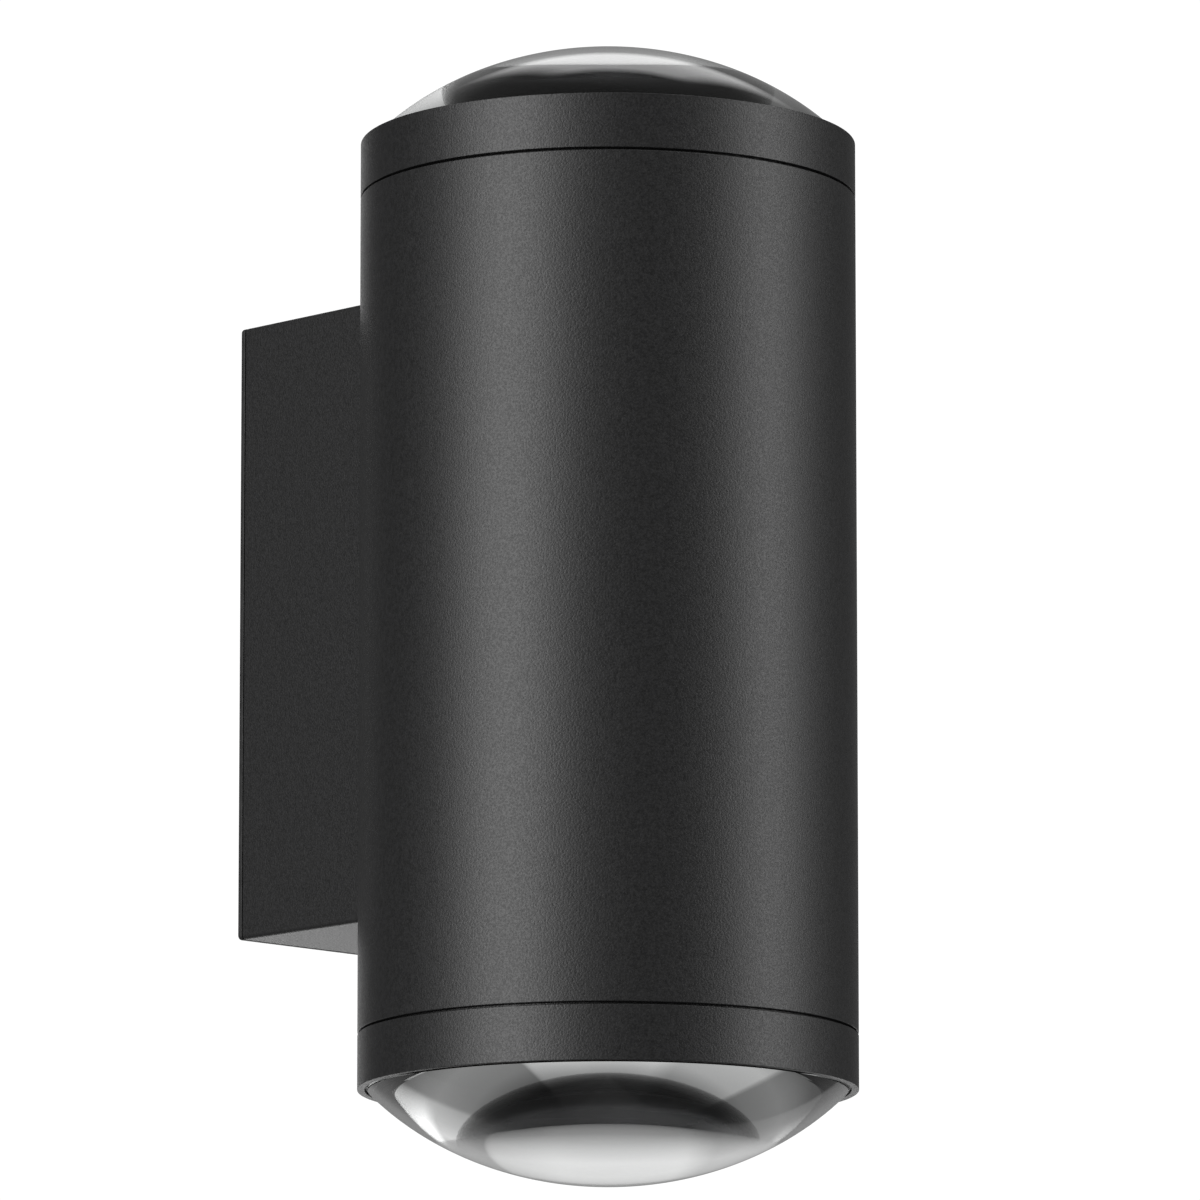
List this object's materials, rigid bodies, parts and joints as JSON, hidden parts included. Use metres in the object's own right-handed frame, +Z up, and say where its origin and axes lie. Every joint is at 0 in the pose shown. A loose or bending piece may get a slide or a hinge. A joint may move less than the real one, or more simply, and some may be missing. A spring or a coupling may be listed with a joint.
{
  "type": "up and down wall light",
  "caption": "Cylindrical outdoor wall light with a convex glass lens and a screw-on ring at each end, carried by a rectangular wall box.",
  "frame": {"origin": "centre of the wall plate's back face, on the wall", "axes": "+Y into the wall, +Z up along the tube, +X to the right seen from the front"},
  "size_m": [0.105, 0.1425, 0.2414],
  "materials": {
    "powder_coat": "fine textured black powder coat",
    "glass": "clear polished",
    "silicone": "matt black",
    "aluminium": "machined",
    "reflector": "dark anodised, semi-specular",
    "steel": "zinc plated",
    "black_oxide": "black oxide",
    "brass": "turned",
    "white_plastic": "moulded",
    "phosphor": "silicone-encapsulated phosphor",
    "board": "white solder mask",
    "cable": "satin sheath",
    "earth_cable": "green and yellow sheath"
  },
  "bodies": {
    "housing": {"wall_box": "powder_coat", "housing_tube": "powder_coat", "mount_plate": "steel", "wall_gasket": "silicone", "cable_grommet": "silicone", "saddle_gasket": "silicone", "terminal_block": "white_plastic", "terminal_screw": "steel", "earth_screw": "brass", "clamp_screw_1": "brass", "clamp_screw_2": "brass", "clamp_screw_3": "brass", "cable_nipple": "brass", "nipple_nut_box": "brass", "nipple_nut_tube": "brass", "box_bolt_lower": "steel", "box_bolt_upper": "steel", "retaining_screw_upper": "black_oxide", "retaining_screw_lower": "black_oxide", "mains_lead": "cable", "earth_lead": "earth_cable", "driver_bracket": "aluminium", "driver_case": "white_plastic", "driver_screw_upper": "steel", "driver_screw_lower": "steel", "upper_heat_sink": "aluminium", "upper_led_board": "board", "upper_led_emitter": "phosphor", "upper_led_holder": "white_plastic", "upper_reflector": "reflector", "upper_led_lead": "cable", "upper_sink_screw_1": "steel", "upper_sink_screw_2": "steel", "upper_sink_screw_3": "steel", "upper_holder_screw_left": "steel", "upper_holder_screw_right": "steel", "lower_heat_sink": "aluminium", "lower_led_board": "board", "lower_led_emitter": "phosphor", "lower_led_holder": "white_plastic", "lower_reflector": "reflector", "lower_led_lead": "cable", "lower_sink_screw_1": "steel", "lower_sink_screw_2": "steel", "lower_sink_screw_3": "steel", "lower_holder_screw_left": "steel", "lower_holder_screw_right": "steel"},
    "upper_gasket_carrier": {"upper_ring_gasket": "silicone"},
    "upper_cap": {"upper_ring": "powder_coat", "upper_lens_seal": "silicone", "upper_lens": "glass"},
    "lower_gasket_carrier": {"lower_ring_gasket": "silicone"},
    "lower_cap": {"lower_ring": "powder_coat", "lower_lens_seal": "silicone", "lower_lens": "glass"}
  },
  "joints": [
    {"name": "upper_ring_lift", "type": "slide", "parent": "housing", "child": "upper_gasket_carrier", "axis": [0, 0, 1], "range_m": [0, 0.00455]},
    {"name": "upper_ring_turn", "type": "hinge", "parent": "upper_gasket_carrier", "child": "upper_cap", "pos_m": [0, -0.09, 0.0847], "axis": [0, 0, 1], "range_deg": [0, 1080]},
    {"name": "lower_ring_lift", "type": "slide", "parent": "housing", "child": "lower_gasket_carrier", "axis": [0, 0, -1], "range_m": [0, 0.00455]},
    {"name": "lower_ring_turn", "type": "hinge", "parent": "lower_gasket_carrier", "child": "lower_cap", "pos_m": [0, -0.09, -0.0933], "axis": [0, 0, -1], "range_deg": [0, 1080]}
  ],
  "couplings": [
    {"joint": "upper_ring_lift", "follows": "upper_ring_turn", "m_per_rad": 0.00023873},
    {"joint": "lower_ring_lift", "follows": "lower_ring_turn", "m_per_rad": 0.00023873}
  ]
}
